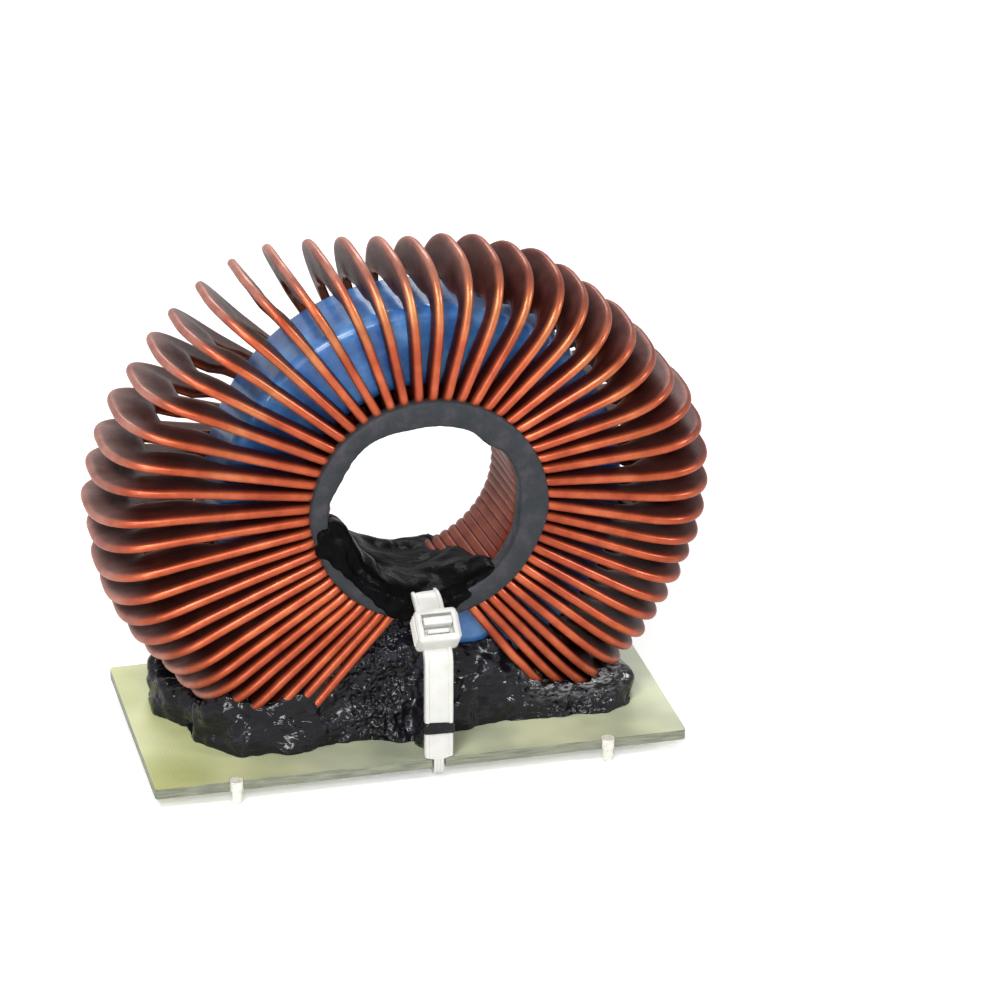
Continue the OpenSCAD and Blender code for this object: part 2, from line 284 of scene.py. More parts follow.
def lead(s, y, side, hole_x):
    """A wire end that runs on along its leg, bends down and passes through its hole."""
    knee = 3
    in_hole_z, below_board_z = 1.5, -1.6
    end = outer_end(s)
    along = (end - inner_end(s)).normalized()
    flat = Vector((-along.z, 0, along.x))
    wide = Vector((0, side, 0))
    across = Vector((1, 0, 0))
    shift = Vector((0, y, 0))
    made = [(end - knee * along + shift, flat, wide)]
    for k in range(1, 5):
        t = k / 4
        curve = (1 - t) ** 2 * (end - knee * along) + 2 * t * (1 - t) * end
        curve += t ** 2 * (end - Vector((0, 0, knee)))
        made.append((curve + shift, flat.lerp(across, t).normalized(), wide))
    for z in (in_hole_z, below_board_z):
        made.append((Vector((hole_x - core_centre.x, y, z - core_centre.z)), across, wide))
    return made


def rounded_box(w, h, r, steps=4, band=0):
    """Outline of a w by h rectangle with round corners, and a point a band in from each end."""
    points = []
    for cx, cy, start in ((1, 1, 0), (-1, 1, 90), (-1, -1, 180), (1, -1, 270)):
        corner = []
        for k in range(steps):
            a = math.radians(start + 90 * k / (steps - 1))
            corner.append((cx * (w / 2 - r) + r * math.cos(a), cy * (h / 2 - r) + r * math.sin(a)))
        if band:
            inner = (cx * (w / 2 - r - band), cy * h / 2)
            corner = corner + [inner] if cx * cy > 0 else [inner] + corner
        points += corner
    return points


def mesh_piece(name, points, faces, smooth=True):
    """A new object from points in millimetres, placed straight into the object's frame."""
    mesh = bpy.data.meshes.new(name)
    mesh.from_pydata([tuple(Vector(p) / 1000) for p in points], [], faces)
    mesh.polygons.foreach_set("use_smooth", [smooth] * len(mesh.polygons))
    mesh.update()
    obj = bpy.data.objects.new(name, mesh)
    bpy.context.scene.collection.objects.link(obj)
    return obj


def skin(rings, closed=False):
    """Faces over a row of equal rings, with both ends capped unless the row is a loop."""
    n = len(rings[0])
    total = len(rings)
    faces = []
    for k in range(total if closed else total - 1):
        a, b = k * n, (k + 1) % total * n
        faces += [(a + j, a + (j + 1) % n, b + (j + 1) % n, b + j) for j in range(n)]
    if not closed:
        faces.append(tuple(reversed(range(n))))
        faces.append(tuple(range((total - 1) * n, total * n)))
    return faces


def lofted(name, rings, closed=False, smooth=True):
    """A new object with a skin over a row of rings of points."""
    points = [point for ring in rings for point in ring]
    return mesh_piece(name, points, skin(rings, closed), smooth)


def mark(obj, name, values):
    """Keeps one number for each point of a mesh, for its material to read."""
    obj.data.attributes.new(name, "FLOAT", "POINT").data.foreach_set("value", values)


def marked(material, name):
    """The numbers that were kept under a name."""
    return node(material, "ShaderNodeAttribute", attribute_name=name).outputs["Fac"]


def between(material, share, first, second):
    """A colour between two others."""
    inputs = {"Factor": share, "A": first, "B": second}
    return node(material, "ShaderNodeMix", inputs, data_type="RGBA").outputs["Result"]


def spread_at(centre, wide):
    """How far the wire's inner edge is spread towards the core's rim, where there is room."""
    inner = centre - wide * (wire_w / 2)
    past_rim = math.hypot(inner.x, inner.z) - core_r - rim_gap
    on_right = clamp(centre.x / right_from_x)
    share = spread_share + more_share_on_right * on_right
    return clamp(share * past_rim, 0, most_spread + more_spread_on_right * on_right)


coil_path = []
for turn in range(turns):
    coil_path += one_turn(turn, turn == turns - 1)
front_lead = lead(0, -leg_y, -1, front_hole_x)
rear_lead = lead(turns - 0.5, leg_y, 1, rear_hole_x)
wire_path = list(reversed(front_lead)) + coil_path + rear_lead
wire_outline = rounded_box(wire_w, wire_t, wire_edge_r, steps=5, band=edge_band)
wire_rings, painted_edge_light, painted_tip_sheen, painted_bend_glint = [], [], [], []
for centre, flat, wide in wire_path:
    spread = spread_at(centre, wide)
    from_axis = math.hypot(centre.x, centre.z)
    # Shares from 0 to 1: in the bore, on the outer end, on the left, on the upper shoulder
    in_bore = clamp(1 - (from_axis - bore_r - wire_w / 2) / 2)
    at_end = clamp((0.97 - abs(centre.y) / leg_y) / 0.3) if from_axis > core_r - 4 else 0
    to_left = clamp(0.75 - centre.x / 30, 0.25, 1)
    at_shoulder = max(0, 1 - abs(from_axis - core_r - 1.5) / 5) * max(0, centre.z / from_axis)
    ring = []
    for a, b in wire_outline:
        outwards = 0.5 + a / wire_w
        a_here = a if a > 0 else a * (1 + 2 * spread / wire_w)
        swell = 1 + in_bore * (bore_swell + bore_keystone * outwards)
        ring.append(core_centre + centre + a_here * wide + swell * b * flat)
        on_edge = (abs(a) - (wire_w / 2 - wire_edge_r - edge_band)) / (wire_edge_r + edge_band)
        # Painted light: a highlight painted along the middle of the rounded edge. It falls off
        # towards the flats, is weaker on the outer ends, and is weaker still in the bore, where it
        # stands for shade.
        painted_edge_light.append(max(on_edge, 0) ** 1.8 * (1 - 0.55 * at_end - 0.68 * in_bore))
        # Painted reflection: the outer ends of the flats are painted pale. The paleness is
        # strongest towards the wire's outer edge and on the left of the coil.
        painted_tip_sheen.append(to_left * at_end * outwards ** 1.9)
        # Painted highlight: a golden glint on the edges at the upper shoulders of the turns.
        painted_bend_glint.append(at_shoulder)
    wire_rings.append(ring)
winding = lofted("wire_coil", wire_rings)
mark(winding, "painted_edge_light", painted_edge_light)
mark(winding, "painted_tip_sheen", painted_tip_sheen)
mark(winding, "painted_bend_glint", painted_bend_glint)

# Red-brown enamel over copper. Its colour carries painted light: a highlight along the edges,
# shade on the flats and in the bore, a sheen on the leaf tips and a glint on the upper shoulders.
enamel = finish("red_enamel", (0.3, 0.06, 0.03), 0.35, metallic=0.6, Coat_Weight=0.3,
                Coat_Roughness=0.18, Coat_IOR=1.45, IOR=1.14)
where = place(enamel)
tone = grain(enamel, 4.5, where, detail=4.0)
dust = grain(enamel, 0.35, where, detail=3.0)
on_edge = marked(enamel, "painted_edge_light")
bright_edge = shades(enamel, tone, [(0.3, (0.36, 0.058, 0.022)), (0.5, (0.5, 0.095, 0.037)),
                                    (0.7, (0.64, 0.15, 0.06))])
# Painted shade: the flats are painted a near-black maroon for the shade between the close turns.
painted_shade_flat = shades(enamel, tone, [(0.3, (0.032, 0.0045, 0.003)), (0.5, (0.05, 0.007, 0.0045)),
                                  (0.7, (0.075, 0.012, 0.008))])
# Pale pink-grey of the painted sheen on the leaf tips.
tip_sheen_colour = shades(enamel, tone, [(0.3, (0.27, 0.14, 0.12)), (0.7, (0.44, 0.29, 0.26))])
# Golden colour of the painted glint at the shoulders.
glint_edge_colour = shades(enamel, tone, [(0.3, (0.45, 0.13, 0.045)), (0.7, (0.74, 0.31, 0.13))])
edge_colour = between(enamel, marked(enamel, "painted_bend_glint"), bright_edge, glint_edge_colour)
flat_colour = between(enamel, marked(enamel, "painted_tip_sheen"), painted_shade_flat, tip_sheen_colour)
coat = node(enamel, "ShaderNodeMapRange", {"Value": on_edge, "To Min": 0.02, "To Max": 0.4})
metal = node(enamel, "ShaderNodeMapRange", {"Value": on_edge, "To Min": 0.1, "To Max": 0.75})
dress(enamel,
      Base_Color=between(enamel, on_edge, flat_colour, edge_colour),
      Metallic=metal.outputs["Result"],
      Coat_Weight=coat.outputs["Result"],
      Roughness=level(enamel, dust, 0.3, 0.44),
      Normal=bump(enamel, dust, 0.012))
wear(winding, enamel)
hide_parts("winding")
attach(winding, "root")

# ---------------------------------------------------------------- bore ring
# A collar of dark resin cloth, cut by hand and pressed into the funnel at the front of the bore.
# Its hole is not round, and its edge is a little soft.

# (angle, radius) stops round the hole and round the rim
hole_r = [(0, 13.3), (22, 13.9), (38, 14.0), (50, 13.3), (66, 13.9), (97, 13.9), (130, 15.0),
          (152, 14.7), (172, 15.2), (186, 15.2), (200, 14.5), (214, 13.9), (250, 13.8),
          (300, 13.8), (335, 13.6)]
rim_r = [(0, 17.8), (48, 17.7), (93, 17.8), (130, 18.0), (170, 17.9), (200, 17.2), (235, 17.0),
         (290, 17.0), (330, 17.2)]
ring_steps = 240
ring_front = -half_depth - 0.6
cut_wobble = 0.12


def round_about(stops, angle):
    """A radius that passes smoothly through its stops, all the way round."""
    angle %= 360
    for k, (a, r) in enumerate(stops):
        b, next_r = stops[(k + 1) % len(stops)]
        b = b if b > a else b + 360
        here = angle if angle >= a else angle + 360
        if a <= here <= b:
            t = (here - a) / (b - a)
            return r + (next_r - r) * (3 - 2 * t) * t * t
    return stops[0][1]


ring_points = []
for k in range(ring_steps):
    angle = 360 * k / ring_steps
    rim = round_about(rim_r, angle)
    hole = round_about(hole_r, angle) + cut_wobble * noise.noise(Vector((0.4 * k, 3, 0)))
    lift = cut_wobble * noise.noise(Vector((0.15 * k, 0, 7)))
    # (radius, y) points across the collar, from its seat round the rim and face to the hole
    outline = [(rim, -corner_y - 3.6), (rim, ring_front + 0.5), (rim - 0.15, ring_front + 0.15),
               (rim - 0.5, ring_front), ((rim + hole) / 2, ring_front - 0.1 + lift),
               (hole + 0.4, ring_front + lift), (hole + 0.1, ring_front + 0.15 + lift),
               (hole, ring_front + 0.45), (hole + 0.05, -corner_y - 2.6),
               (hole + 0.3, -corner_y - 2.2), (hole + 0.9, -corner_y - 2.3)]
    a = math.radians(angle)
    ring_points.append([core_centre + Vector((r * math.cos(a), y, r * math.sin(a)))
                        for r, y in outline])
collar = lofted("bore_collar", ring_points, closed=True)
dark_cloth = finish("dark_resin_cloth", (0.027, 0.027, 0.032), 0.6, Specular_IOR_Level=0.3)
where = place(dark_cloth)
cloud = grain(dark_cloth, 3.0, where, detail=5.0)
speck = grain(dark_cloth, 0.3, where, detail=2.0)
dress(dark_cloth,
      Base_Color=shades(dark_cloth, cloud, [(0.3, (0.016, 0.024, 0.026)),
                                            (0.52, (0.028, 0.03, 0.036)),
                                            (0.72, (0.055, 0.05, 0.062))]),
      Roughness=level(dark_cloth, speck, 0.5, 0.75),
      Normal=bump(dark_cloth, speck, 0.05, under=bump(dark_cloth, cloud, 0.2)))
wear(collar, dark_cloth)
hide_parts("bore_ring")
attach(collar, "root")

# ---------------------------------------------------------------- board
# Bare glass-fibre laminate, pale yellow-green, punched to shape. The faces show the weave faintly
# through the resin, and past the left end they are painted darker and greyer as shade. The sawn
# edge is darker and striped by its layers of cloth.

board_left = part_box("base_board")[0].x * 1000
shade_fade_run = 26


def times(material, first, second):
    """Two factors multiplied."""
    inputs = {0: first, 1: second}
    return node(material, "ShaderNodeMath", inputs, operation="MULTIPLY").outputs[0]


laminate = finish("bare_laminate", (0.5, 0.54, 0.34), 0.45, Coat_Weight=0.15, Coat_Roughness=0.25)
where = place(laminate)
threads = {"Vector": where, "Scale": 0.55, "Distortion": 0.6, "Detail": 2.0}
warp = node(laminate, "ShaderNodeTexWave", threads, bands_direction="X").outputs["Fac"]
weft = node(laminate, "ShaderNodeTexWave", threads, bands_direction="Y").outputs["Fac"]
weave = times(laminate, warp, weft)
resin_cloud = grain(laminate, 14.0, where, detail=2.0)
across_board = node(laminate, "ShaderNodeSeparateXYZ", {"Vector": where}).outputs["X"]
from_left = node(laminate, "ShaderNodeMapRange", {"Value": across_board, "From Min": board_left,
                                                  "From Max": board_left + shade_fade_run})
# Painted shade: beyond the left end the faces go from the brighter yellow-green to a darker,
# greyer tint that stands for shade.
unshaded_tint = shades(laminate, resin_cloud, [(0.35, (0.45, 0.48, 0.17)), (0.65, (0.6, 0.63, 0.28))])
painted_shade_tint = shades(laminate, resin_cloud, [(0.35, (0.31, 0.35, 0.25)), (0.5, (0.42, 0.46, 0.31)),
                                 (0.65, (0.58, 0.62, 0.4))])
face_tint = between(laminate, from_left.outputs["Result"], unshaded_tint, painted_shade_tint)
face_woven = between(laminate, times(laminate, weave, 0.18), face_tint, (0.62, 0.66, 0.48, 1))
layers = grain(laminate, 0.5, place(laminate, stretch=(0.12, 0.12, 1.4)), detail=3.0)
edge_tint = shades(laminate, layers, [(0.35, (0.14, 0.15, 0.11)), (0.65, (0.26, 0.28, 0.2))])
upright = node(laminate, "ShaderNodeSeparateXYZ",
               {"Vector": node(laminate, "ShaderNodeNewGeometry").outputs["Normal"]}).outputs["Z"]
flatness = node(laminate, "ShaderNodeMath", {0: upright}, operation="ABSOLUTE").outputs[0]
dress(laminate,
      Base_Color=between(laminate, flatness, edge_tint, face_woven),
      Normal=bump(laminate, weave, 0.012))
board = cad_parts["base_board"]
wear(board, laminate)

# ---------------------------------------------------------------- pins
# Four round tinned pins, pressed into the long edges of the board. They are bright where the tin
# is smooth and a little grey where it has been handled.

tin = finish("bright_tin", (0.84, 0.83, 0.75), 0.35, metallic=0.2)
where = place(tin)
handled = grain(tin, 0.8, where, detail=4.0)
dress(tin,
      Base_Color=shades(tin, handled, [(0.35, (0.76, 0.75, 0.66)), (0.65, (0.86, 0.85, 0.77))]),
      Roughness=level(tin, handled, 0.22, 0.4),
      Normal=bump(tin, handled, 0.006))
for name in ("pin_front_left", "pin_front_right", "pin_rear_left", "pin_rear_right"):
    wear(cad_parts[name], tin)

# ---------------------------------------------------------------- cable tie
# A white nylon tie, pulled tight through the bore and round the board. Its strap has a raised rim
# along each side and teeth inside, and its head sits on the slope in front of the winding.

tie_w = 4.2
tie_t = 1.2
tie_x = core_centre.x - 0.7
tie_y = 19.7
neck_w = 1.5
neck_from_y = 16.7
strap_soft = 0.15
strap_rim_w = 0.55
channel_deep = 0.16
tooth_h = 0.25
route_step = 0.4
board_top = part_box("base_board")[1].z * 1000
slope_low, slope_high = Vector((-tie_y, 18.1)), Vector((-12.6, 24.2))
tie_route = [((-tie_y, -0.7), 0.6), (slope_low, 1.6), (slope_high, 2), ((-7, 23.2), 3),
             ((5, 21.8), 3), ((12.6, 20.6), 2), ((tie_y, 13.5), 1.6), ((tie_y, -0.7), 0.6)]


def rounded_route(corners, step):
    """Points about a step apart round a closed route, with each (corner, cut) turned."""
    sparse = []
    for k, (corner, cut) in enumerate(corners):
        here = Vector(corner)
        before = (Vector(corners[k - 1][0]) - here).normalized() * cut
        after = (Vector(corners[(k + 1) % len(corners)][0]) - here).normalized() * cut
        for j in range(7):
            t = j / 6
            sparse.append(here + (1 - t) ** 2 * before + t ** 2 * after)
    dense = []
    for k, point in enumerate(sparse):
        after = sparse[(k + 1) % len(sparse)]
        parts = max(1, round((after - point).length / step))
        dense += [point.lerp(after, j / parts) for j in range(parts)]
    return dense


def strap_outline(width, tooth):
    """Across the strap: (sideways, outward) points with two rims and a channel between them."""
    half, rim, face = width / 2, min(strap_rim_w, width / 4), tie_t / 2
    side = [(half, face - strap_soft), (half - strap_soft, face), (half - rim, face),
            (half - rim - 0.12, face - channel_deep), (0.1, face - channel_deep)]
    inner = [(half - rim, -face), (half - rim - 0.05, -face + tooth)]
    top = side + [(-x, n) for x, n in reversed(side)]
    bottom = [(-half, -face + strap_soft), (-half + strap_soft, -face)]
    bottom += [(-x, n) for x, n in inner] + list(reversed(inner))
    return top + bottom + [(half - strap_soft, -face), (half, -face + strap_soft)]


tie_path = rounded_route(tie_route, route_step)
tie_rings = []
for k, here in enumerate(tie_path):
    run = (tie_path[(k + 1) % len(tie_path)] - tie_path[k - 1]).normalized()
    normal = Vector((-run.y, run.x))
    at_edge = here.y < board_top + 0.15 and abs(here.x) > neck_from_y
    outline = strap_outline(neck_w if at_edge else tie_w, tooth_h if k % 3 == 0 else 0)
    tie_rings.append([Vector((tie_x + x, here.x + n * normal.x, here.y + n * normal.y))
                      for x, n in outline])
strap = lofted("nylon_tie", tie_rings, closed=True, smooth=False)


def rounded_block(size, r, segments=3):
    """A block as a bmesh in millimetres, with its edges rounded."""
    bm = bmesh.new()
    bmesh.ops.create_cube(bm, size=1)
    bmesh.ops.scale(bm, vec=size, verts=bm.verts)
    bmesh.ops.bevel(bm, geom=bm.edges[:], offset=r, segments=segments, affect="EDGES",
                    profile=0.5)
    return bm


def add_to(obj, parts):
    """Joins bmeshes in millimetres, each with its matrix, into an object's mesh."""
    whole = bmesh.new()
    whole.from_mesh(obj.data)
    for bm, matrix in parts:
        bmesh.ops.transform(bm, matrix=Matrix.Scale(0.001, 4) @ matrix, verts=bm.verts)
        part = bpy.data.meshes.new("part")
        bm.to_mesh(part)
        whole.from_mesh(part)
        bpy.data.meshes.remove(part)
        bm.free()
    bmesh.ops.recalc_face_normals(whole, faces=whole.faces[:])
    whole.to_mesh(obj.data)
    whole.free()


head_size, head_r = (6.4, 5.2, 4.2), 0.7
head_low = 1
window_rim, window_lip, window_deep = 0.35, 0.12, 1.3
tail_size, tail_at = (4.2, 1.2, 3.4), (0, 0.4, 0.9)
pawl_size, pawl_at = (3.2, 0.7, 2.6), (0, -0.9, 0.4)
grip_size, grip_x, grip_rows = (0.5, 4.0, 0.5), 3.15, (-0.9, 0.1, 1.1)
downhill = (slope_low - slope_high).normalized()
outhill = Vector((downhill.y, -downhill.x))
head_bm = rounded_block(head_size, head_r)
head_bm.faces.ensure_lookup_table()
outer_face = max(head_bm.faces, key=lambda face: face.calc_center_median().z + face.calc_area())
bmesh.ops.inset_region(head_bm, faces=[outer_face], thickness=window_rim)
bmesh.ops.inset_region(head_bm, faces=[outer_face], thickness=window_lip)
bmesh.ops.translate(head_bm, vec=(0, 0, -window_deep), verts=outer_face.verts)
# The window's faces come in a chance order, so all are put in one order
slant = Vector((1, 10.3, 107.7))
head_bm.verts.sort(key=lambda vert: vert.co.dot(slant))
head_bm.edges.sort(key=lambda edge: (edge.verts[0].co + edge.verts[1].co).dot(slant))
head_bm.faces.sort(key=lambda face: face.calc_center_median().dot(slant))
tail_bm = rounded_block(tail_size, 0.15, segments=2)
pawl_bm = rounded_block(pawl_size, 0.2, segments=2)
grip = [(rounded_block(grip_size, 0.2, segments=2), Matrix.Translation((x, 0, z)))
        for x in (-grip_x, grip_x) for z in grip_rows]
head_centre = (slope_low + slope_high) / 2 + head_low * downhill
head_centre += (head_size[2] / 2 - tie_t / 2) * outhill
tilt = math.atan2(-downhill.y, -downhill.x)
head_place = (Matrix.Translation((tie_x, head_centre.x, head_centre.y))
              @ Matrix.Rotation(tilt, 4, "X"))
add_to(strap, [(head_bm, head_place),
               (tail_bm, head_place @ Matrix.Translation(tail_at)),
               (pawl_bm, head_place @ Matrix.Translation(pawl_at))]
       + [(bm, head_place @ matrix) for bm, matrix in grip])

nylon = finish("white_nylon", (0.8, 0.8, 0.77), 0.38, Coat_Weight=0.15, Coat_Roughness=0.3)
where = place(nylon)
milky = grain(nylon, 4.0, where, detail=3.0)
drawn = grain(nylon, 0.25, place(nylon, stretch=(1, 1, 0.15)), detail=2.0)
dress(nylon,
      Base_Color=shades(nylon, milky, [(0.3, (0.58, 0.58, 0.54)), (0.7, (0.7, 0.7, 0.67))]),
      Roughness=level(nylon, drawn, 0.32, 0.5),
      Normal=bump(nylon, drawn, 0.02))
wear(strap, nylon)
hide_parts("cable_tie")
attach(strap, "root")

# ---------------------------------------------------------------- silicone bed
# Black silicone, poured round the foot of the coil and pushed up against the core by hand. It has
# lumps at the corners, a steep bank on each side of the core, and a skin that dried in wrinkles,
# beaded beside the strap, with painted highlights streaked pale over the top of the right slope.

bed_edge = [(-31.6, -6.3), (-29.3, -9.8), (-25.6, -12.8), (-20, -13.4), (-15.6, -13),
            (-10, -11.8), (-5, -13.1), (1, -13.9), (6.5, -12.5), (13.4, -11.6), (22.2, -12),
            (30, -12.1), (34, -10.5), (35.6, -6.6), (36, 0), (35.4, 7), (33, 12), (26, 13.6),
            (15, 12.6), (2, 14), (-10, 12.8), (-20, 13.2), (-29, 14.5), (-34.2, 13.2),
            (-36.4, 8.4), (-35.6, 3), (-33, -1.8)]
# Centre, half lengths and height of each lump
bed_lumps = [((-25.5, -6.6), (9.5, 7), 10.8), ((-31, 1), (4.6, 7), 5),
             ((-31.5, 8), (6.3, 6.5), 9.5), ((-17.5, -8.5), (8, 6.5), 9.5),
             ((28.5, -5), (8.5, 7), 7), ((32, 2), (5, 9), 5), ((29, 8.5), (8, 6.5), 8),
             ((-15, 9.5), (7, 4.5), 5), ((15, 10), (8, 4), 4.6), ((12, -9.5), (7, 3.5), 4.2)]
bank_ends, bank_step_x = (-20, 25), 1
bank_left_h, bank_right_h = 20, 13.6
bank_face, bank_run = 7.2, 5.8
bed_flat = 2.3
bead_r = 2.5
middle_h = 5.4
core_sunk = 0.2
turns_sunk, front_left_turns_sunk = 1.2, 4
turns_looked_at = 18
bed_spine = (-27, 28)
bed_rows = 34
bed_foot = 0.4
voxel = 0.4
tongue_size, tongue_at = (3.6, 9, 5.6), (tie_x, -14.7, board_top + 2.6)
band_size, band_at = (4.62, 2.2, 1.9), (tie_x, -19.36, board_top + 5)
bed_wrinkles = [(5, 1.4), (2.4, 0.55), (1.4, 0.22)]


def smooth_loop(points, steps):
    """A closed curve through the points."""
    found = []
    n = len(points)
    for k in range(n):
        a, b, c, d = (Vector(points[(k + j) % n]) for j in (-1, 0, 1, 2))
        for j in range(steps):
            t = j / steps
            square = (2 * a - 5 * b + 4 * c - d) * t * t
            cube = (3 * b - a - 3 * c + d) * t ** 3
            found.append(0.5 * (2 * b + (c - a) * t + square + cube))
    return found


def rounded_off(inset, r):
    """Goes from 0 at an edge to 1 as a quarter circle of radius r."""
    return math.sqrt(1 - (1 - min(inset / r, 1)) ** 2)


# Underside of the winding over each square millimetre of the board
coil_under = {}
for (centre, flat, wide), (after, _, _) in zip(coil_path, coil_path[1:]):
    parts = max(1, int((after - centre).length))
    for j in range(parts):
        middle = core_centre + centre.lerp(after, j / parts)
        if middle.z < board_top + turns_looked_at:
            for a in (-wire_w / 2, 0, wire_w / 2):
                point = middle + a * wide
                low = point.z - wire_t / 2
                for dx in (-1, 0, 1):
                    cell = (round(point.x) + dx, round(point.y))
                    coil_under[cell] = min(low, coil_under.get(cell, low))


def bed_height(x, y, inset):
    """Height of the silicone above the board, at a distance in from its edge."""
    top = bed_flat + 0.5 * noise.noise(Vector((x / 4, y / 4, 1)))
    for (cx, cy), (rx, ry), h in bed_lumps:
        away = math.hypot((x - cx) / rx, (y - cy) / ry)
        if away < 1:
            top = max(top, bed_flat + (h - bed_flat) * math.cos(away * math.pi / 2) ** 0.8)
    out = (abs(y) - bank_face) / (bank_run + noise.noise(Vector((x / 5, y / 9, 4))))
    if 0 <= out < 1 and bank_ends[0] < x < bank_ends[1]:
        to_right = clamp((x - bank_step_x) / 4)
        bank_h = bank_left_h + (bank_right_h - bank_left_h) * to_right
        top = max(top, bed_flat + (bank_h - bed_flat) * (1 - out) ** 1.15)
    top *= rounded_off(inset, bead_r)
    if abs(y) < bank_face:
        across = core_r ** 2 - (x - core_centre.x) ** 2
        if across > 0:
            top = min(top, core_centre.z - math.sqrt(across) - board_top + core_sunk)
        top = min(top, middle_h)
    sunk = front_left_turns_sunk if y < -7 and x < -8 else turns_sunk
    return min(top, coil_under.get((round(x), round(y)), 99) - board_top + sunk)


bed_rim = smooth_loop(bed_edge, 12)
bed_points = []
for k in range(bed_rows + 1):
    share = (k / bed_rows) ** 1.2
    for edge in bed_rim:
        spine = Vector((clamp(edge.x, *bed_spine), 0))
        at = edge.lerp(spine, share)
        inset = share * (spine - edge).length
        bed_points.append((at.x, at.y, board_top + bed_height(at.x, at.y, inset)))
bed_points += [(edge.x, edge.y, board_top - bed_foot) for edge in bed_rim]
around = len(bed_rim)
bed_faces = []
for k in range(bed_rows):
    a, b = k * around, (k + 1) * around
    bed_faces += [(a + j, a + (j + 1) % around, b + (j + 1) % around, b + j)
                  for j in range(around)]
base = (bed_rows + 1) * around
bed_faces += [(base + j, base + (j + 1) % around, (j + 1) % around, j) for j in range(around)]
bed_faces.append(tuple(base + j for j in reversed(range(around))))
bed = mesh_piece("silicone_bed", bed_points, bed_faces)


def weld(obj, smooth_rounds):
    """Makes one even skin of a rough closed mesh, and relaxes it."""
    bm = bmesh.new()
    bm.from_mesh(obj.data)
    bmesh.ops.remove_doubles(bm, verts=bm.verts, dist=1e-6)
    bmesh.ops.recalc_face_normals(bm, faces=bm.faces[:])
    bm.to_mesh(obj.data)
    bm.free()
    skin_modifier = obj.modifiers.new("skin", "REMESH")
    skin_modifier.mode = "VOXEL"
    skin_modifier.voxel_size = voxel / 1000
    relax = obj.modifiers.new("relax", "SMOOTH")
    relax.factor = 0.5
    relax.iterations = smooth_rounds
    bpy.context.view_layer.update()
    welded = bpy.data.meshes.new_from_object(obj.evaluated_get(
        bpy.context.evaluated_depsgraph_get()))
    obj.modifiers.clear()
    obj.data = welded
    welded.polygons.foreach_set("use_smooth", [True] * len(welded.polygons))


def wrinkle(obj, folds, floor_level=None):
    """Moves a skin in and out by folds of (lump size, depth), and keeps its foot flat."""
    mesh = obj.data
    moved = []
    for vertex in mesh.vertices:
        here = vertex.co * 1000
        push = sum(depth * noise.noise(here / size) for size, depth in folds)
        here = here + vertex.normal * push
        if floor_level is not None:
            here.z = max(here.z, floor_level)
        moved += list(here / 1000)
    mesh.vertices.foreach_set("co", moved)
    mesh.update()


# A tongue of silicone under the strap, and the band that it left round the strap
tongue = rounded_block(tongue_size, 1.2)
add_to(bed, [(tongue, Matrix.Translation(tongue_at))])
weld(bed, smooth_rounds=3)
wrinkle(bed, bed_wrinkles, board_top)
band = rounded_block(band_size, 0.3)
for vertex in band.verts:
    vertex.co.z += 0.35 * noise.noise(vertex.co * 0.7)
add_to(bed, [(band, Matrix.Translation(band_at))])
bed.data.polygons.foreach_set("use_smooth", [True] * len(bed.data.polygons))


def near(x, middle):
    """1 at a place along the board, falling to 0 at 9 mm from it."""
    return max(0, 1 - abs(x - middle) / 9)


beaded, glint_marks = [], []
for vertex in bed.data.vertices:
    x, y, z = vertex.co * 1000
    beaded.append(max(near(x, -6), 0.9 * near(x, 25)) if y < -6 else 0)
    # Painted highlights: pale streaks on the upper right slope, kept as a share for the material.
    glint_marks.append(near(x, 26) * clamp((z - board_top - 2) / 3) if y < 0 else 0)
mark(bed, "speckle", beaded)
mark(bed, "painted_glints", glint_marks)

silicone = finish("black_silicone", (0.004, 0.004, 0.006), 0.1, IOR=1.36)
where = place(silicone)
skin_folds = grain(silicone, 3.5, where, detail=2.0, distortion=1.0)
drag = grain(silicone, 1.8, place(silicone, stretch=(0.4, 0.6, 1)), detail=1.5, distortion=0.8)
beads = node(silicone, "ShaderNodeTexVoronoi", {"Vector": where, "Scale": 1.3},
             feature="SMOOTH_F1").outputs["Distance"]
bead_relief = times(silicone, beads, marked(silicone, "speckle"))
black_skin = shades(silicone, skin_folds, [(0.35, (0.005, 0.005, 0.006)),
                                           (0.6, (0.008, 0.008, 0.012)),
                                           (0.75, (0.02, 0.018, 0.028))])
# Painted highlights: fine pale streaks, mixed into the black where that share is kept.
glint_streaks = grain(silicone, 0.6, place(silicone, stretch=(0.35, 0.6, 1)), detail=3.0,
                    distortion=1.0)
glint_lines = node(silicone, "ShaderNodeMapRange", {"Value": glint_streaks, "From Min": 0.46,
                                                  "From Max": 0.6}).outputs["Result"]
glint_share = times(silicone, glint_lines, marked(silicone, "painted_glints"))
dress(silicone,
      Base_Color=between(silicone, glint_share, black_skin, (0.42, 0.4, 0.41, 1)),
      Roughness=level(silicone, drag, 0.1, 0.22),
      Normal=bump(silicone, bead_relief, 0.9,
                  under=bump(silicone, drag, 0.4, under=bump(silicone, skin_folds, 0.3))))
wear(bed, silicone)
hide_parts("adhesive_bed")
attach(bed, "root")

# ---------------------------------------------------------------- bore silicone
# More of the same silicone, laid over the strap on the bottom of the bore. It fills the slot
# between the two end turns, climbs the bore on the left, and is smeared over the lower collar.

fill_front, fill_run = -11.7, 21.9
fill_from, fill_to = 178, 316
fill_rows, fill_columns = 44, 48
fill_foot_r = 13.9
under_turns_r, in_funnel_r, in_slot_r = 14.2, 15.4, 17.6
funnel_front, funnel_back = -8.8, 7.5
slot_from, slot_to, slot_half = 258, 287, 8
left_to, climb_to = 264, 245
left_film, left_climb = 0.7, 0.8

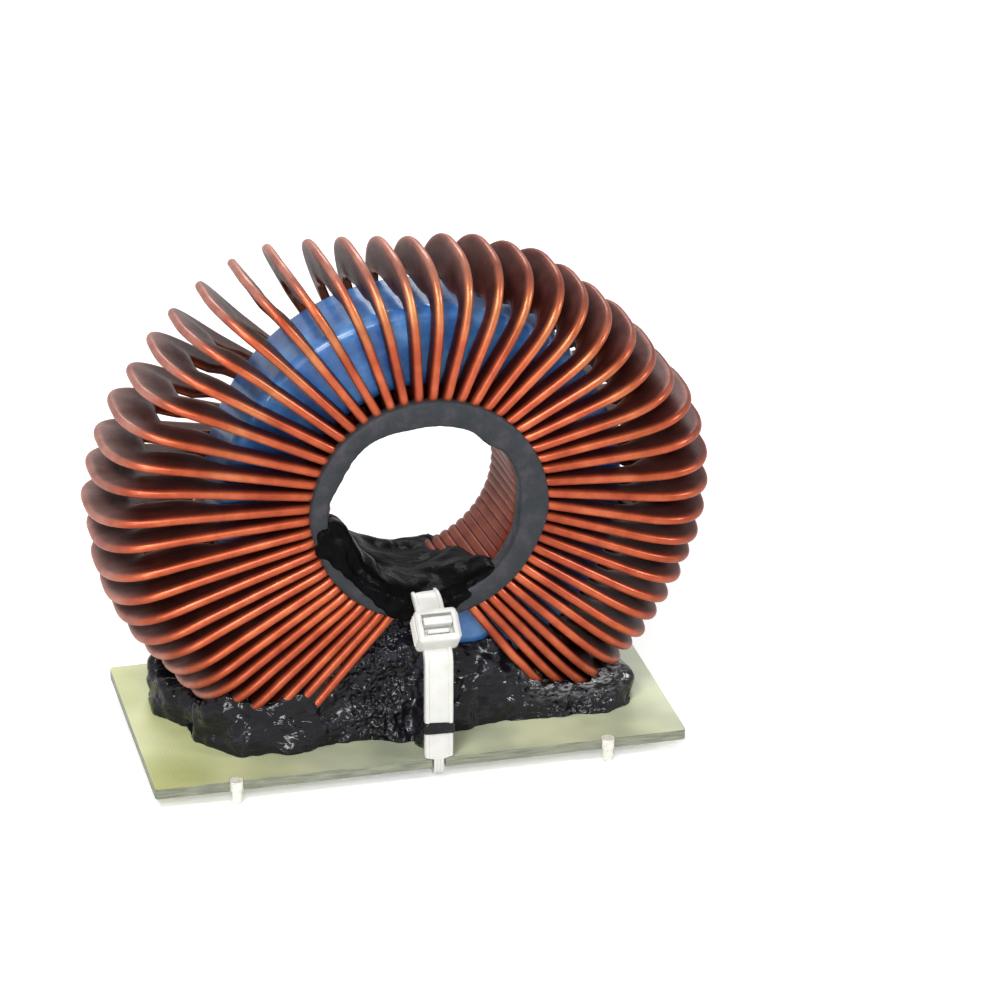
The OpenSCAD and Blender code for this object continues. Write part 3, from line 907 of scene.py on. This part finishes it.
fill_rings = []
for k in range(fill_rows + 1):
    y = fill_front + fill_run * k / fill_rows
    first_angle = fill_from + 1.6 * max(y + 10, 0)
    last_angle = fill_to - 1.5 * max(y + 8, 0)
    inner_arc, outer_arc = [], []
    for j in range(fill_columns + 1):
        angle = first_angle + (last_angle - first_angle) * j / fill_columns
        thick = 1.5 - 0.13 * max(y + 6, 0) + 0.5 * noise.noise(Vector((angle / 16, y / 4, 2)))
        if angle < left_to:
            climb = clamp((climb_to - angle) / 15) * clamp((-2 - y) / 4)
            thick = max(thick, left_film) + left_climb * climb
        thick *= rounded_off(min(k, fill_rows - k), 6) * rounded_off(min(j, fill_columns - j), 8)
        outer_r = under_turns_r if funnel_front < y < funnel_back else in_funnel_r
        if slot_from < angle < slot_to and abs(y) < slot_half:
            outer_r = in_slot_r
        a = math.radians(angle)
        for arc, r in ((inner_arc, fill_foot_r - max(thick, 0)), (outer_arc, outer_r)):
            arc.append(core_centre + Vector((r * math.cos(a), y, r * math.sin(a))))
    fill_rings.append(inner_arc + outer_arc[::-1])
fill = lofted("bore_silicone", fill_rings)

# Angle, radius, breadth and length of each smear on the collar
smears = [(187, 15.7, 1.3, 1.5), (194, 15.7, 2.1, 1.7), (202, 14.9, 1.4, 1.8),
          (212, 14.5, 0.9, 1.9), (222, 14.4, 0.8, 2), (232, 14.6, 1.1, 2), (241, 14.8, 1.5, 2),
          (249, 15.2, 1.9, 1.9), (257, 15.3, 1.8, 1.6), (280, 14.9, 1.2, 1.9),
          (289, 14.5, 0.9, 1.8)]
smear_y = ring_front + 0.3
for angle, r, broad, long in smears:
    dab = bmesh.new()
    bmesh.ops.create_icosphere(dab, subdivisions=3, radius=1)
    bmesh.ops.scale(dab, vec=(broad, 1, long), verts=dab.verts)
    a = math.radians(angle)
    out = Vector((math.cos(a), 0, math.sin(a)))
    at = core_centre + r * out + Vector((0, smear_y, 0))
    add_to(fill, [(dab, Matrix.Translation(at) @ Matrix.Rotation(-a, 4, "Y"))])
weld(fill, smooth_rounds=4)
wrinkle(fill, [(3.5, 0.5)])
smooth_silicone = finish("smooth_black_silicone", (0.004, 0.004, 0.005), 0.25, IOR=1.07)
where = place(smooth_silicone)
film = grain(smooth_silicone, 2.5, where, detail=3.0)
dress(smooth_silicone,
      Base_Color=shades(smooth_silicone, film, [(0.35, (0.003, 0.003, 0.003)),
                                                (0.7, (0.006, 0.006, 0.007))]),
      Roughness=level(smooth_silicone, film, 0.14, 0.3),
      Normal=bump(smooth_silicone, film, 0.25))
wear(fill, smooth_silicone)
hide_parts("bore_adhesive")
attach(fill, "root")

# ---------------------------------------------------------------- setting
# A pale floor that runs out of sight, an even pale room, five lamps of which two are narrow
# strips in front, and a camera that looks down on the front from a little to the left.

floor_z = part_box("pin_front_left")[0].z * 1000
floor_half = 3000
floor_glow = 0.35
room_light = 0.36
seen_room = (0.8, 0.8, 0.8, 1)
floor_corners = [(x * floor_half, y * floor_half, floor_z)
                 for x, y in ((-1, -1), (1, -1), (1, 1), (-1, 1))]
floor = mesh_piece("floor", floor_corners, [(0, 1, 2, 3)], smooth=False)
paper = finish("white_paper", (0.85, 0.85, 0.85), 0.8, Specular_IOR_Level=0.1,
               Emission_Color=(1, 1, 1, 1))
seen = node(paper, "ShaderNodeLightPath").outputs["Is Camera Ray"]
dress(paper, Emission_Strength=times(paper, seen, floor_glow))
floor.data.materials.append(paper)

scene = bpy.context.scene
world = bpy.data.worlds.new("soft_room")
scene.world = world
world.use_nodes = True
soft = world.node_tree.nodes["Background"]
soft.inputs["Color"].default_value = (1, 1, 1, 1)
soft.inputs["Strength"].default_value = room_light
pale = node(world, "ShaderNodeBackground", {"Color": seen_room, "Strength": 1.0})
rays = node(world, "ShaderNodeLightPath").outputs
shows_pale = rays["Is Camera Ray"]
for ray in ("Is Glossy Ray", "Is Transmission Ray"):
    shows_pale = node(world, "ShaderNodeMath", {0: shows_pale, 1: rays[ray]},
                      operation="MAXIMUM").outputs[0]
room = node(world, "ShaderNodeMixShader", {"Fac": shows_pale, 1: soft.outputs[0],
                                           2: pale.outputs[0]})
world.node_tree.links.new(room.outputs[0], world.node_tree.nodes["World Output"].inputs["Surface"])

look_at = Vector((core_centre.x, -half_depth, core_centre.z)) / 1000
# Each lamp's offset from where the camera looks, width and height in metres, and power
for name, offset, size, power in (("lamp_high_left", (-0.3, -0.4, 0.6), (0.2, 0.16), 2.9),
                                  ("lamp_front", (-0.15, -0.6, 0.42), (0.34, 0.08), 2.0),
                                  ("lamp_low", (-0.4, -0.6, 0.12), (0.06, 0.2), 1.0),
                                  ("lamp_right", (0.6, -0.3, 0.3), (0.1, 0.1), 1.6),
                                  ("lamp_back", (0.1, 0.6, 0.5), (0.3, 0.3), 2.2)):
    lamp_data = bpy.data.lights.new(name, "AREA")
    lamp_data.shape = "RECTANGLE"
    lamp_data.size, lamp_data.size_y = size
    lamp_data.energy = power
    lamp = bpy.data.objects.new(name, lamp_data)
    lamp.location = look_at + Vector(offset)
    lamp.rotation_euler = (-Vector(offset)).to_track_quat("-Z", "Y").to_euler()
    scene.collection.objects.link(lamp)

azimuth, elevation, distance = math.radians(-13.5), math.radians(25), 0.6
back = Vector((math.sin(azimuth) * math.cos(elevation), -math.cos(azimuth) * math.cos(elevation),
               math.sin(elevation)))
camera_data = bpy.data.cameras.new("camera")
camera_data.lens = 149
camera_data.sensor_width = 36
camera_data.shift_x = 0.07
camera_data.shift_y = 0.014
camera = bpy.data.objects.new("camera", camera_data)
camera.location = look_at + distance * back
camera.rotation_euler = (-back).to_track_quat("-Z", "Y").to_euler()
scene.collection.objects.link(camera)
scene.camera = camera
scene.view_settings.view_transform = "Standard"
